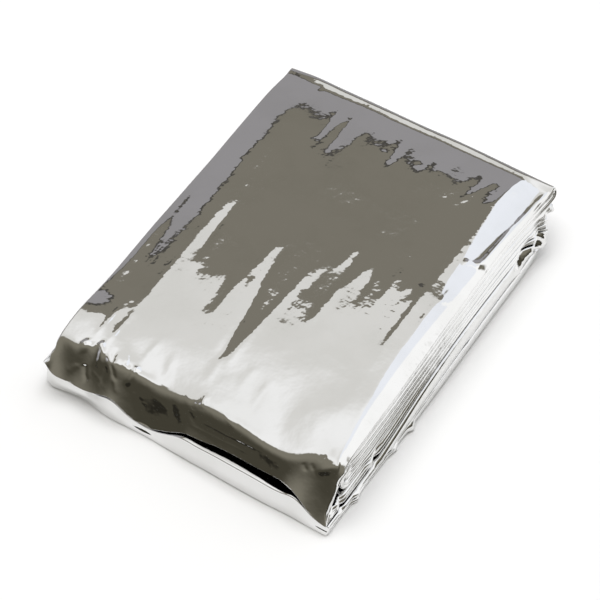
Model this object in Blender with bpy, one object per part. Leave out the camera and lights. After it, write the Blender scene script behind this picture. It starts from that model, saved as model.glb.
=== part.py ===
"""Folded emergency foil blanket, as one solid.

The blanket is a single sheet of metallised film, folded lengthwise into a strip and then back and
forth into a flat pack. The solid is one back-and-forth section of that strip: eight layers, a little
apart, joined by the folds at the two ends. Two layers make the low bundle at the bottom, whose fold
shows as a strip along the front. Six nested layers make the bundle on top, whose big outer fold
slopes down over the front.

The layers are first laid out as an even stack, in places along Y and in levels, which are whole
numbers at the middle of a layer. Then press() takes each point of the stack to its real place.

Frame: X across the pack, Y along it from the front folds to the back ones, Z up. The origin is the
middle of the bottom. All sizes are in millimetres until the mesh is made.
"""

import bmesh
import bpy
import numpy as np

MM = 0.001

# The even stack.
LEVEL = 2.0  # from one layer's middle to the next one's
SHEET = 1.44  # thickness of one layer
LOW_LAYERS = 2  # layers in the bottom bundle
TOP_LAYER = 8
FLOOR_LEVEL = 1 - SHEET / 2 / LEVEL
LOW_ROOF_LEVEL = LOW_LAYERS + SHEET / 2 / LEVEL
UPPER_FLOOR_LEVEL = LOW_LAYERS + 1 - SHEET / 2 / LEVEL
ROOF_LEVEL = TOP_LAYER + SHEET / 2 / LEVEL

# The sheet's way through the stack, from its free end at the bottom to the one inside. Each fold
# joins two layers, has its centre along Y and is drawn in a number of steps.
LOW_FOLD_Y = -57.9
OUTER_FOLD_Y = -48.0
FREE_END_BELOW = 50.0
FOLDS = (
    # from, to, centre, steps
    (1, LOW_LAYERS, LOW_FOLD_Y, 6),
    (LOW_LAYERS, 3, 54.4, 5),
    (3, TOP_LAYER, OUTER_FOLD_Y, 14),
    (TOP_LAYER, 7, 60.2, 5),
    (7, 4, OUTER_FOLD_Y, 8),
    (4, 5, 57.6, 5),
    (5, 6, OUTER_FOLD_Y, 5),
)
FREE_END_INSIDE = 58.8

# Where each layer's left and right edges lie, at the front of the pack and at its back.
LAYER_EDGES = (
    # layer, left at the front, left at the back, right at the front, right at the back
    (1, -46.0, -45.4, 45.9, 44.1),
    (2, -45.8, -45.2, 45.7, 43.9),
    (3, -45.2, -45.3, 45.0, 43.2),
    (4, -44.4, -44.5, 44.3, 42.7),
    (5, -45.0, -44.9, 45.2, 43.5),
    (6, -44.4, -44.4, 44.5, 42.8),
    (7, -45.0, -44.9, 45.1, 43.8),
    (8, -44.8, -44.5, 45.2, 45.0),
)
EDGES_FRONT, EDGES_BACK = -50.0, 58.0

# Height of the top face over the pack, a row for each place along Y.
TOP_X = (-45, -37, -16, 8, 26, 36, 45)
TOP_HEIGHTS = (
    # along Y, then the height at each TOP_X
    (61, (15.2, 16.1, 16.6, 16.9, 17.2, 17.2, 16.4)),
    (44, (14.8, 16.4, 17.4, 18.1, 18.5, 18.2, 16.0)),
    (19, (14.0, 15.8, 17.6, 18.7, 19.3, 18.9, 16.0)),
    (-6, (13.7, 15.4, 17.5, 18.8, 19.6, 19.3, 16.4)),
    (-28, (13.5, 15.0, 17.2, 18.5, 19.4, 19.6, 17.6)),
    (-40, (13.4, 14.8, 16.8, 17.8, 18.4, 19.5, 19.2)),
    (-48, (13.9, 14.6, 15.6, 16.4, 16.6, 18.8, 20.4)),
    (-56, (14.2, 14.0, 13.2, 13.4, 12.6, 16.6, 20.8)),
)

# Height of the bottom bundle and of the gap over it, along the middle and the back of the pack.
LOW_HEIGHTS = (
    # along Y, height, gap over it
    (61, 6.3, 0.6),
    (30, 6.1, 0.6),
    (0, 5.7, 0.6),
    (-34, 4.8, 0.6),
)

# The front. low_y and outer_y are where the bottom bundle's fold and the outer fold reach to, and
# lean is how far the outer fold's top is drawn back and its foot pushed out.
FRONT = (
    # x, low_y, low height, gap over it, outer_y, lean
    (-46.0, -61.2, 6.4, 0.6, -58.6, 2.4),
    (-42.0, -61.0, 5.0, 0.6, -59.8, 2.8),
    (-37.5, -60.6, 3.9, 0.6, -61.0, 3.4),
    (-32.5, -60.0, 3.7, 0.6, -60.6, 4.0),
    (-26.0, -60.6, 4.4, 0.6, -59.2, 4.6),
    (-20.5, -61.0, 4.6, 0.6, -59.0, 4.8),
    (-14.5, -61.2, 3.9, 0.6, -61.0, 4.8),
    (-7.0, -61.1, 3.8, 0.7, -60.0, 5.0),
    (0.0, -61.2, 4.2, 1.4, -58.8, 5.2),
    (10.0, -61.4, 4.2, 1.8, -58.6, 5.2),
    (24.0, -61.6, 4.0, 1.8, -58.8, 5.0),
    (32.0, -61.8, 3.8, 0.9, -59.8, 4.4),
    (38.0, -62.0, 3.2, 0.5, -61.2, 3.6),
    (42.0, -62.2, 2.8, 0.5, -62.2, 3.0),
    (46.0, -62.0, 2.8, 0.5, -62.6, 2.6),
)
FRONT_START, FRONT_END = -24.0, -46.0  # the front's shape comes in between these

# Soft creases in the top face: a ridge or a trough along a line, fading at its ends.
CREASES = (
    # x and y of the start, x and y of the end, height, half width
    (-30, -46, -22, -20, 0.45, 4.5),
    (-17, -48, -12, -16, -0.40, 5.0),
    (-4, -48, 6, -12, 0.40, 5.5),
    (12, -48, 17, -22, -0.35, 5.5),
    (26, -46, 30, -14, 0.30, 6.0),
)

# Tucks down the outer fold's face, where the film is gathered at its left.
TUCKS = (
    # x, depth, half width
    (-39.5, 0.7, 2.6),
    (-34.5, -0.5, 2.4),
    (-29.5, 0.8, 2.6),
    (-21.0, -0.4, 3.2),
    (-12.0, 0.6, 3.0),
    (0.0, 0.4, 4.0),
)
TUCKS_START, TUCKS_END = -46.0, -51.0

X_STEPS = 21  # stations across the pack
EDGE_SHARE = 0.005  # how much of the width each edge's rounding takes
LAYER_STEP = 22.0  # stations along a hidden layer
TOP_STEP = 6.5  # stations along the top layer

FILM_COLOUR = (0.80, 0.80, 0.78, 1.0)
FILM_ROUGHNESS = 0.10


def spline(places, values, at):
    """A natural cubic through the values, read at the places asked for and held beyond its ends."""
    order = np.argsort(places)
    x = np.asarray(places, float)[order]
    y = np.asarray(values, float)[order]
    gaps = np.diff(x)
    system = np.eye(len(x))
    right = np.zeros_like(y)
    for i in range(1, len(x) - 1):
        system[i, i - 1 : i + 2] = gaps[i - 1], 2 * (gaps[i - 1] + gaps[i]), gaps[i]
        right[i] = 6 * ((y[i + 1] - y[i]) / gaps[i] - (y[i] - y[i - 1]) / gaps[i - 1])
    bend = np.linalg.solve(system, right)
    at = np.clip(at, x[0], x[-1])
    i = np.clip(np.searchsorted(x, at) - 1, 0, len(x) - 2)
    below, above = x[i + 1] - at, at - x[i]
    cubic = (bend[i] * below**3 + bend[i + 1] * above**3) / (6 * gaps[i])
    start = (y[i] / gaps[i] - bend[i] * gaps[i] / 6) * below
    end = (y[i + 1] / gaps[i] - bend[i + 1] * gaps[i] / 6) * above
    return cubic + start + end


def ramp(value, start, end):
    """0 before the start, 1 after the end, and a smooth rise between them."""
    share = np.clip((value - start) / (end - start), 0.0, 1.0)
    return share * share * (3 - 2 * share)


def from_table(table, index, at):
    """A column of a table, read at the places asked for along its first column."""
    return spline([row[0] for row in table], [row[index] for row in table], at)


def layer_stations(layer, start, end):
    """Stations along one layer, both ends included."""
    step = TOP_STEP if layer == TOP_LAYER else LAYER_STEP
    count = int(np.ceil(abs(end - start) / step)) + 1
    return [(y, layer) for y in np.linspace(start, end, count)]


def sheet_path():
    """The sheet's middle line in the even stack, as rows of a place along Y and a level."""
    line = []
    layer, y = 1, FREE_END_BELOW
    for start, end, centre, steps in FOLDS:
        line += layer_stations(layer, y, centre)
        radius = abs(end - start) / 2
        outwards = np.sign(centre)
        for angle in np.linspace(0, np.pi, steps + 1)[1:-1]:
            along = centre + outwards * radius * LEVEL * np.sin(angle)
            line.append((along, (start + end) / 2 + (start - end) / 2 * np.cos(angle)))
        layer, y = end, centre
    line += layer_stations(layer, y, FREE_END_INSIDE)
    return np.array(line)


def faces_of(line):
    """The two faces of the sheet: the middle line, moved half a thickness to each side of it."""
    flat = line * (1.0, LEVEL)
    ahead = np.diff(flat, axis=0)
    ahead /= np.linalg.norm(ahead, axis=1)[:, None]
    before = np.vstack([ahead[:1], ahead])
    after = np.vstack([ahead, ahead[-1:]])
    along = before + after
    along /= np.linalg.norm(along, axis=1)[:, None]
    mitre = (along * before).sum(1)[:, None]
    aside = np.column_stack([-along[:, 1], along[:, 0]]) * SHEET / 2 / mitre
    return (flat + aside) / (1.0, LEVEL), (flat - aside) / (1.0, LEVEL)


def top_height(x, y):
    """Height of the top face, with its soft creases."""
    columns = [from_table([(at, *row) for at, row in TOP_HEIGHTS], i + 1, y) for i in range(len(TOP_X))]
    height = np.array([spline(TOP_X, row, here) for row, here in zip(np.transpose(columns), x)])
    for x0, y0, x1, y1, rise, half_width in CREASES:
        length = np.hypot(x1 - x0, y1 - y0)
        share = ((x - x0) * (x1 - x0) + (y - y0) * (y1 - y0)) / length**2
        aside = ((x - x0) * (y1 - y0) - (y - y0) * (x1 - x0)) / length
        fade = ramp(share, -0.3, 0.2) * ramp(share, 1.2, 0.6)
        height += rise * fade * np.exp(-((aside / half_width) ** 2))
    return height


def press(x, y, level):
    """Takes a place in the even stack to its real place along Y and its height.

    Along Y the two front folds are moved to their own reach, and the outer one leans. The height
    runs in three even stretches: the bottom bundle, the gap over it, and the bundle on top.
    """
    front = ramp(y, FRONT_START, FRONT_END)
    upper = level > (LOW_ROOF_LEVEL + UPPER_FLOOR_LEVEL) / 2
    low_y, low_front, gap_front, outer_y, lean = (from_table(FRONT, i, x) for i in range(1, 6))
    low_reach = LOW_FOLD_Y - (LOW_LAYERS - 1) / 2 * LEVEL - SHEET / 2
    outer_radius = (TOP_LAYER - 3) / 2 * LEVEL
    outer_reach = OUTER_FOLD_Y - np.hypot(outer_radius, lean) - SHEET / 2
    out = front * np.where(upper, outer_y - outer_reach, low_y - low_reach)
    tilt = np.where(upper, (level - (TOP_LAYER + 3) / 2) * LEVEL / outer_radius, 0.0)
    tuck = sum(depth * np.exp(-(((x - at) / width) ** 2)) for at, depth, width in TUCKS)
    tuck *= upper * ramp(y, TUCKS_START, TUCKS_END) * (1 - 0.5 * np.abs(tilt))
    new_y = y + out + lean * front * tilt + tuck

    low = from_table(LOW_HEIGHTS, 1, y)
    low += front * (low_front - low)
    gap = from_table(LOW_HEIGHTS, 2, y)
    gap += front**2 * (gap_front - gap)
    in_low = np.clip((level - FLOOR_LEVEL) / (LOW_ROOF_LEVEL - FLOOR_LEVEL), 0, 1)
    in_gap = np.clip((level - LOW_ROOF_LEVEL) / (UPPER_FLOOR_LEVEL - LOW_ROOF_LEVEL), 0, 1)
    in_upper = np.clip((level - UPPER_FLOOR_LEVEL) / (ROOF_LEVEL - UPPER_FLOOR_LEVEL), 0, 1)
    height = low * in_low + gap * in_gap + (top_height(x, new_y) - low - gap) * in_upper
    return new_y, height


def row_across(y, level, shares):
    """Points across the pack at one station, at shares of the way from its left edge to its right."""
    back = np.clip((y - EDGES_FRONT) / (EDGES_BACK - EDGES_FRONT), 0, 1)
    front_left, back_left, front_right, back_right = (from_table(LAYER_EDGES, i, level) for i in range(1, 5))
    left = front_left + back * (back_left - front_left)
    right = front_right + back * (back_right - front_right)
    x = left + shares * (right - left)
    new_y, height = press(x, np.full_like(x, y), np.full_like(x, level))
    return np.column_stack([x, new_y, height])


def sheet_rings(line):
    """A ring of points round the sheet at each station of its path: across one face, round the
    right edge, back across the other face and round the left edge."""
    shares = np.linspace(EDGE_SHARE, 1 - EDGE_SHARE, X_STEPS)
    rings = []
    for middle, first, second in zip(line, *faces_of(line)):
        across = row_across(*first, shares), row_across(*second, shares[::-1])
        edges = row_across(*middle, np.ones(1)), row_across(*middle, np.zeros(1))
        rings.append(np.vstack([across[0], edges[0], across[1], edges[1]]))
    return rings


def ring_mesh(name, rings):
    """A closed mesh through the rings, with each end filled by a strip across the sheet."""
    shape = bmesh.new()
    corners = [[shape.verts.new(point * MM) for point in ring] for ring in rings]
    for near, far in zip(corners, corners[1:]):
        for i in range(len(near)):
            shape.faces.new((near[i - 1], near[i], far[i], far[i - 1]))
    last = X_STEPS - 1
    for end in (corners[0], corners[-1]):
        for i in range(last):
            mate = 2 * last + 1 - i
            shape.faces.new((end[i], end[i + 1], end[mate], end[mate + 1]))
        shape.faces.new(end[last : last + 3])
        shape.faces.new((end[0], end[-1], end[-2]))
    bmesh.ops.recalc_face_normals(shape, faces=shape.faces)
    bmesh.ops.triangulate(shape, faces=shape.faces)
    mesh = bpy.data.meshes.new(name)
    shape.to_mesh(mesh)
    shape.free()
    mesh.shade_smooth()
    return mesh


def film_material():
    """Bare metallised film: bright, smooth and metallic."""
    film = bpy.data.materials.new("metallised_film")
    film.use_nodes = True
    shader = film.node_tree.nodes["Principled BSDF"]
    shader.inputs["Base Color"].default_value = FILM_COLOUR
    shader.inputs["Metallic"].default_value = 1.0
    shader.inputs["Roughness"].default_value = FILM_ROUGHNESS
    return film


def main():
    for old in list(bpy.data.objects):
        bpy.data.objects.remove(old)
    mesh = ring_mesh("foil_blanket", sheet_rings(sheet_path()))
    mesh.materials.append(film_material())
    blanket = bpy.data.objects.new("foil_blanket", mesh)
    bpy.context.scene.collection.objects.link(blanket)


main()
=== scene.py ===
"""Looks of the folded emergency foil blanket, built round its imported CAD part.

The blanket is one sheet of metallised film. It is made here as one closed ribbon: the folded
strip's eight layers with their turns, the low bundle with its closed sides, the big outer fold
over the front, and the creases, pleats and tucks of the film. Its sizes are in millimetres.

Frame: X across the pack, Y along it from the front folds to the back ones, Z up.
"""

import logging
from dataclasses import dataclass, field
from typing import Sequence

import bpy
import numpy as np
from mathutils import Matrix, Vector


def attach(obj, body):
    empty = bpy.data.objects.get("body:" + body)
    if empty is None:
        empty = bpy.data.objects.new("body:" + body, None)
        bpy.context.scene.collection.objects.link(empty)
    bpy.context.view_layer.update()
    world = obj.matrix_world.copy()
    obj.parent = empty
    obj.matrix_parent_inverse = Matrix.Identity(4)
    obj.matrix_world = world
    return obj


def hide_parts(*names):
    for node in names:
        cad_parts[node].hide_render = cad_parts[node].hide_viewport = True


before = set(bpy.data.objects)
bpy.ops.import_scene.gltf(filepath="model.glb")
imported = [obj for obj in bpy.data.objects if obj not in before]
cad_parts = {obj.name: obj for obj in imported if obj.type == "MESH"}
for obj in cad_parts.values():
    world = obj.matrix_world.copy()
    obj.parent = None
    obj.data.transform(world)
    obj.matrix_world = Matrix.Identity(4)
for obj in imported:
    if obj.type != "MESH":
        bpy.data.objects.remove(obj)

log = logging.getLogger("foil_blanket")
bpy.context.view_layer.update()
MM = 0.001
# the least radius that anything is divided by
TINY = 1e-9
Array = np.ndarray


# --------------------------------------------------------------------------- numbers and curves


def spline_weights(places: Sequence[float], at: Array) -> Array:
    """Weights of a natural cubic spline, which is held at its end values beyond its ends.

    Between places a and b, at distance p past a and q before b of a gap g, the value is
    (q * value_a + p * value_b) / g plus (q^3 - g^2 q) / 6g * bend_a + (p^3 - g^2 p) / 6g * bend_b,
    and the bends are linear in the values, so that each value has a fixed weight.

    Args:
        places: the spline's places, rising or falling.
        at: where to read it.

    Returns:
        An array with a row for each place read and a column for each value.
    """
    order = np.argsort(places)
    x = np.asarray(places, float)[order]
    gap = np.diff(x)
    count = len(x)
    system, right = np.eye(count), np.zeros((count, count))
    i = np.arange(1, count - 1)
    system[i, i - 1], system[i, i], system[i, i + 1] = gap[:-1], 2 * (gap[:-1] + gap[1:]), gap[1:]
    right[i, i - 1], right[i, i + 1] = 6 / gap[:-1], 6 / gap[1:]
    right[i, i] = -6 / gap[:-1] - 6 / gap[1:]
    bends = np.linalg.solve(system, right)
    at = np.clip(np.asarray(at, float).ravel(), x[0], x[-1])
    k = np.clip(np.searchsorted(x, at) - 1, 0, count - 2)
    g, p, q = gap[k], at - x[k], x[k + 1] - at
    weights = ((q**3 - g * g * q) / (6 * g))[:, None] * bends[k]
    weights += ((p**3 - g * g * p) / (6 * g))[:, None] * bends[k + 1]
    rows = np.arange(len(at))
    weights[rows, k] += q / g
    weights[rows, k + 1] += p / g
    out = np.empty_like(weights)
    out[:, order] = weights
    return out


def spline(places: Sequence[float], values: Sequence[float], at: Array) -> Array:
    """A natural cubic through the values, read at the places asked for, in their shape."""
    return (spline_weights(places, at) @ np.asarray(values, float)).reshape(np.shape(at))


def ramp(value: Array, start: float, end: float) -> Array:
    """0 before the start, 1 after the end, and 3t^2 - 2t^3 between them."""
    share = np.clip((value - start) / (end - start), 0.0, 1.0)
    return share * share * (3 - 2 * share)


def hinge(distance: Array, blur: float) -> Array:
    """0 on one side of a line and the distance on its other side: blur * log(1 + exp(distance / blur))."""
    return blur * np.logaddexp(0.0, distance / blur)


# --------------------------------------------------------------------------- the top face


@dataclass(frozen=True)
class Shoulder:
    """A line along the pack past which the top face slopes down more steeply.

    Attributes:
        along: places along Y.
        across: where the line is across the pack, at each of them.
        slope: how much steeper the face gets past the line, at each of them.
        side: 1 for a line whose right side drops, -1 for one whose left side drops.
        blur: how soft the line is, in millimetres.
    """

    along: tuple
    across: tuple
    slope: tuple
    side: int
    blur: float

    def drop(self, x: Array, y: Array) -> Array:
        """How far the face drops: the slope times the distance past the line."""
        distance = self.side * (x - spline(self.along, self.across, y))
        return spline(self.along, self.slope, y) * hinge(distance, self.blur)


@dataclass(frozen=True)
class Ridge:
    """A crease in the film: a ridge, or a trough where its height is negative.

    Attributes:
        line: (x, y) points of its middle line.
        height: its height in the middle.
        width: half its width.
        fade_in, fade_out: shares of its length over which it rises and dies out.
        sharp: 0 for a round crest, up to 1 for a sharp one.
        CREST, STEEP: how blunt a sharp crest is, and how steep its sides are.
    """

    line: tuple
    height: float
    width: float
    fade_in: float = 0.35
    fade_out: float = 0.35
    sharp: float = 0.0
    CREST = 0.18
    STEEP = 2.2

    def rise(self, x: Array, y: Array) -> Array:
        """Height over the face. At a distance of t half widths off the nearest part of the line it is a bell,
        exp(-t^2), or a tent, exp(crest - sqrt(steep * t^2 + crest^2)), as the crest gets sharp.

        Args:
            x, y: places on the face.

        Returns:
            The height there, which fades to 0 towards the line's two ends.
        """
        points = np.asarray(self.line, float)
        lengths = np.hypot(*np.diff(points, axis=0).T)
        starts = np.concatenate([[0.0], np.cumsum(lengths)])
        best, share = np.full(np.shape(x), np.inf), np.zeros(np.shape(x))
        for (x0, y0), (x1, y1), length, start in zip(points, points[1:], lengths, starts):
            ux, uy = (x1 - x0) / length, (y1 - y0) / length
            along = np.clip((x - x0) * ux + (y - y0) * uy, 0, length)
            away = np.hypot(x - x0 - along * ux, y - y0 - along * uy)
            nearer = away < best
            best = np.where(nearer, away, best)
            share = np.where(nearer, (start + along) / starts[-1], share)
        t = best / self.width
        bell = np.exp(-t * t)
        tent = np.exp(self.CREST - np.sqrt(t * t * self.STEEP + self.CREST**2))
        cross = bell + self.sharp * (tent - bell)
        fade = 1.0
        if self.fade_in:
            fade = fade * ramp(share, 0.0, self.fade_in)
        if self.fade_out:
            fade = fade * ramp(share, 1.0, 1.0 - self.fade_out)
        return self.height * fade * cross


@dataclass
class TopFace:
    """The pack's top face as a height over X and Y.

    Attributes:
        across: places across the pack.
        heights: rows of a place along Y and the heights there at each of those places, without the
            shoulders and the creases. A least-squares fit in another program gave all of them.
        shoulders: lines along the pack past which the face slopes down.
        creases: the film's creases there. Such a fit gave the heights of those from "where the film
            begins to shine" on, apart from the last three.
    """

    across: tuple = (-46, -40, -32, -24, -12, 0, 12, 24, 31, 39, 46)
    heights: tuple = (
        (64, (15.58, 15.42, 15.33, 15.70, 16.62, 17.05, 17.65, 17.88, 18.08, 18.29, 18.47)),
        (60.4, (15.08, 14.92, 14.83, 15.10, 15.87, 16.20, 16.70, 16.88, 17.08, 17.29, 17.47)),
        (57, (15.53, 15.36, 15.27, 15.55, 16.33, 16.68, 17.20, 17.40, 17.62, 17.84, 18.02)),
        (52, (16.21, 16.03, 15.93, 16.14, 16.93, 17.31, 17.85, 18.06, 18.29, 18.52, 18.72)),
        (47, (16.42, 16.27, 16.25, 16.46, 17.27, 17.69, 18.25, 18.45, 18.70, 18.94, 19.14)),
        (41, (16.47, 16.35, 16.38, 16.69, 17.51, 17.97, 18.46, 18.70, 18.96, 19.22, 19.42)),
        (32, (16.45, 16.42, 16.52, 16.84, 17.73, 18.24, 18.71, 19.00, 19.28, 19.57, 19.79)),
        (22, (16.35, 16.40, 16.57, 16.91, 17.75, 18.38, 18.90, 19.29, 19.58, 19.90, 20.14)),
        (14, (16.32, 16.42, 16.63, 16.99, 17.86, 18.55, 19.12, 19.50, 19.78, 20.14, 20.38)),
        (7, (16.29, 16.43, 16.70, 17.05, 17.95, 18.67, 19.35, 19.80, 20.09, 20.46, 20.70)),
        (0, (16.46, 16.56, 16.75, 17.06, 17.96, 18.69, 19.35, 19.86, 20.10, 20.54, 20.77)),
        (-7, (16.76, 16.59, 16.82, 17.04, 17.93, 18.68, 19.31, 19.86, 20.07, 20.50, 20.75)),
        (-14, (16.51, 16.26, 16.69, 17.07, 17.90, 18.63, 19.30, 19.70, 19.98, 20.39, 20.65)),
        (-22, (16.04, 15.90, 16.40, 16.81, 17.61, 18.49, 19.13, 19.52, 19.74, 20.13, 20.41)),
        (-34, (15.81, 15.58, 15.70, 16.17, 16.94, 17.89, 18.48, 18.92, 19.22, 19.62, 19.92)),
        (-42, (15.94, 16.04, 15.42, 15.58, 16.27, 16.89, 17.32, 17.93, 18.77, 18.79, 19.09)),
        (-48, (15.30, 15.55, 15.52, 15.07, 15.01, 16.14, 16.37, 16.60, 17.55, 17.93, 18.03)),
        (-54, (14.10, 14.60, 14.57, 15.06, 13.27, 14.87, 15.41, 15.22, 15.78, 16.51, 16.31)),
        (-62, (11.60, 12.10, 12.07, 12.56, 10.77, 12.37, 12.91, 12.72, 13.28, 14.01, 13.81)),
    )
    shoulders: tuple = (
        Shoulder(
            (20, 5, -5, -20, -34, -40, -46, -52),
            (-31.6, -31.6, -31.6, -31.2, -31.0, -31.0, -31.0, -31.0),
            (0.0, 0.0, 0.03, 0.05, 0.06, 0.04, 0.0, 0.0),
            -1,
            0.3,
        ),
        Shoulder(
            (62, 20, -8, -18, -30, -40, -50),
            (-36.0, -36.0, -36.2, -36.5, -36.5, -36.5, -36.5),
            (0.2, 0.19, 0.16, 0.09, 0.02, 0.0, 0.0),
            -1,
            1.2,
        ),
        Shoulder(
            (30, 20, 6, -10, -20, -30, -40),
            (-41.2, -41.2, -41.2, -40.8, -40.8, -40.8, -40.8),
            (0.0, 0.0, -0.12, -0.12, -0.05, 0.0, 0.0),
            -1,
            0.5,
        ),
        Shoulder((62, 50, 20, -20, -34), (-43.6,) * 5, (0.0, 0.2, 0.35, 0.4, 0.0), -1, 0.6),
        Shoulder(
            (62, 57, 40, 5, -15, -30),
            (34.5, 33.6, 33.4, 33.5, 33.8, 35.0),
            (0.0, 0.12, 0.13, 0.1, 0.08, 0.03),
            1,
            0.15,
        ),
        Shoulder(
            (62, 57, 40, 20, 0, -20, -35, -50, -56),
            (34.6, 33.8, 34.0, 36.0, 37.5, 38.5, 40.0, 42.0, 43.0),
            (0.0, 0.1, 0.1, 0.12, 0.14, 0.17, 0.18, 0.18, 0.18),
            1,
            0.2,
        ),
        Shoulder(
            (62, 55, 40, 5, -24, -40, -49, -56),
            (42.4, 41.5, 41.0, 41.0, 41.0, 42.0, 43.0, 44.0),
            (0.0, 0.5, 0.6, 0.6, 0.6, 0.45, 0.22, 0.18),
            1,
            0.3,
        ),
    )
    creases: tuple = (
        # the groove along the right side with its branch, and a short crease before them
        Ridge(((42.0, 58.6), (41.9, 44), (41.0, 28), (40.6, 24)), 0.48, 1.4, 0.12, 0.06, 0.2),
        Ridge(((42.2, 59.5), (42.0, 50), (41.8, 42)), 0.3, 1.3, 0.1, 0.3, 0.2),
        Ridge(((41.0, 25.2), (35.8, 23.2)), 0.42, 0.9, 0.06, 0.3, 0.1),
        Ridge(((41.0, 9.6), (39.2, 8.4), (37.4, 8.0)), 0.2, 0.6, 0.2, 0.3, 0.3),
        Ridge(((39.2, 20), (38.0, 0), (38.6, -14)), 0.16, 1.2, 0.3, 0.3, 0.2),
        Ridge(((36.5, 58), (37.6, 46), (37.0, 36)), -0.1, 1.6, 0.3, 0.3, 0.0),
        # small dents near the back
        Ridge(((-37.2, 57.4), (-34.1, 58.9), (-31.2, 60.7)), 0.13, 1.1, 0.3, 0.3, 0.2),
        Ridge(((-27.2, 57.0), (-24.0, 56.7)), 0.08, 0.7, 0.3, 0.3, 0.2),
        Ridge(((-20.5, 48.0), (-20.1, 50.6), (-18.8, 52.7)), 0.08, 0.9, 0.3, 0.3, 0.2),
        Ridge(((-4.9, 46.9), (-1.9, 46.2)), 0.05, 0.8, 0.3, 0.3, 0.2),
        Ridge(((5.5, 47.0), (8.8, 48.2)), -0.06, 0.8, 0.3, 0.3, 0.2),
        # where the film begins to shine, from left to right, then where it rolls over at the back
        Ridge(((-30.6, 14), (-31.6, 3), (-32.0, -38)), 0.053, 1.4, 0.3, 0.2, 0.4),
        Ridge(((-29.2, 13), (-28.4, -4), (-27.4, -15)), -0.159, 1.6, 0.4, 0.3, 0.3),
        Ridge(((-16.2, -8), (-15.7, -32)), -0.048, 1.3, 0.3, 0.3, 0.4),
        Ridge(((-12.3, -8), (-12.3, -31)), 0.095, 1.3, 0.3, 0.3, 0.4),
        Ridge(((-10.4, 6), (-11.8, -13)), 0.087, 1.3, 0.4, 0.4, 0.3),
        Ridge(((-8.6, 5), (-7.0, -10), (-4.7, -22), (-2.6, -42)), -0.195, 1.7, 0.3, 0.12, 0.6),
        Ridge(((2.0, 2), (1.7, -14), (0.7, -28), (-0.1, -42)), 0.138, 1.5, 0.3, 0.12, 0.5),
        Ridge(((5.8, 3), (5.2, -11)), -0.065, 1.3, 0.3, 0.3, 0.3),
        Ridge(((9.2, 13), (7.8, 0)), 0.056, 1.1, 0.3, 0.4, 0.3),
        Ridge(((10.2, 13), (11.4, 0)), -0.109, 1.2, 0.3, 0.4, 0.3),
        Ridge(((12.6, 2), (12.2, -21)), 0.128, 1.4, 0.3, 0.3, 0.4),
        Ridge(((15.8, 14), (13.8, -6)), 0.045, 1.4, 0.4, 0.4, 0.3),
        Ridge(((16.8, 14), (19.4, -8)), -0.084, 1.5, 0.4, 0.3, 0.3),
        Ridge(((24.0, 14), (24.4, -7)), 0.096, 1.5, 0.3, 0.4, 0.3),
        Ridge(((29.6, 15), (30.6, 0)), -0.095, 1.4, 0.3, 0.4, 0.3),
        Ridge(((31.9, 7), (32.1, -15)), -0.094, 0.9, 0.3, 0.3, 0.3),
        Ridge(((-23.3, 57), (-23.0, 40)), -0.103, 1.3, 0.2, 0.4, 0.3),
        Ridge(((-20.7, 57), (-20.9, 40)), 0.025, 1.3, 0.2, 0.4, 0.3),
        Ridge(((-18.4, 56), (-17.9, 35)), -0.128, 1.5, 0.2, 0.4, 0.3),
        Ridge(((-12.6, 56), (-13.8, 36)), 0.089, 1.6, 0.2, 0.4, 0.3),
        Ridge(((-1.4, 56), (-1.2, 39)), -0.081, 1.3, 0.2, 0.4, 0.3),
        Ridge(((1.6, 56), (1.0, 39)), 0.079, 1.4, 0.2, 0.4, 0.3),
        Ridge(((9.6, 54), (9.2, 42)), 0.060, 1.2, 0.2, 0.4, 0.3),
        # two near the left front corner, and three wide ones near the right back corner
        Ridge(((-36.0, -36), (-35.8, -50)), 0.113, 0.8, 0.3, 0.2, 0.3),
        Ridge(((-31.6, -36), (-32.0, -50)), 0.108, 0.8, 0.3, 0.2, 0.3),
        Ridge(((18.0, 40), (24.5, 58)), 0.1, 2.2, 0.3, 0.2, 0.2),
        Ridge(((22.4, 38), (29.6, 57)), 0.1, 1.4, 0.3, 0.2, 0.4),
        Ridge(((30.8, 41), (34.4, 57)), 0.08, 1.4, 0.3, 0.2, 0.0),
    )

    def height(self, x: Array, y: Array) -> Array:
        """Height of the face: a spline along Y of splines across the pack, less the shoulders' drops,
        plus every crease.

        Args:
            x, y: places on the face.

        Returns:
            The height at each of them.
        """
        table = np.array([row for _, row in self.heights])
        along = spline_weights([y_row for y_row, _ in self.heights], y)
        high = ((along @ table) * spline_weights(self.across, x)).sum(1).reshape(np.shape(x))
        for line in self.shoulders:
            high = high - line.drop(x, y)
        for crease in self.creases:
            high = high + crease.rise(x, y)
        return high


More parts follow.
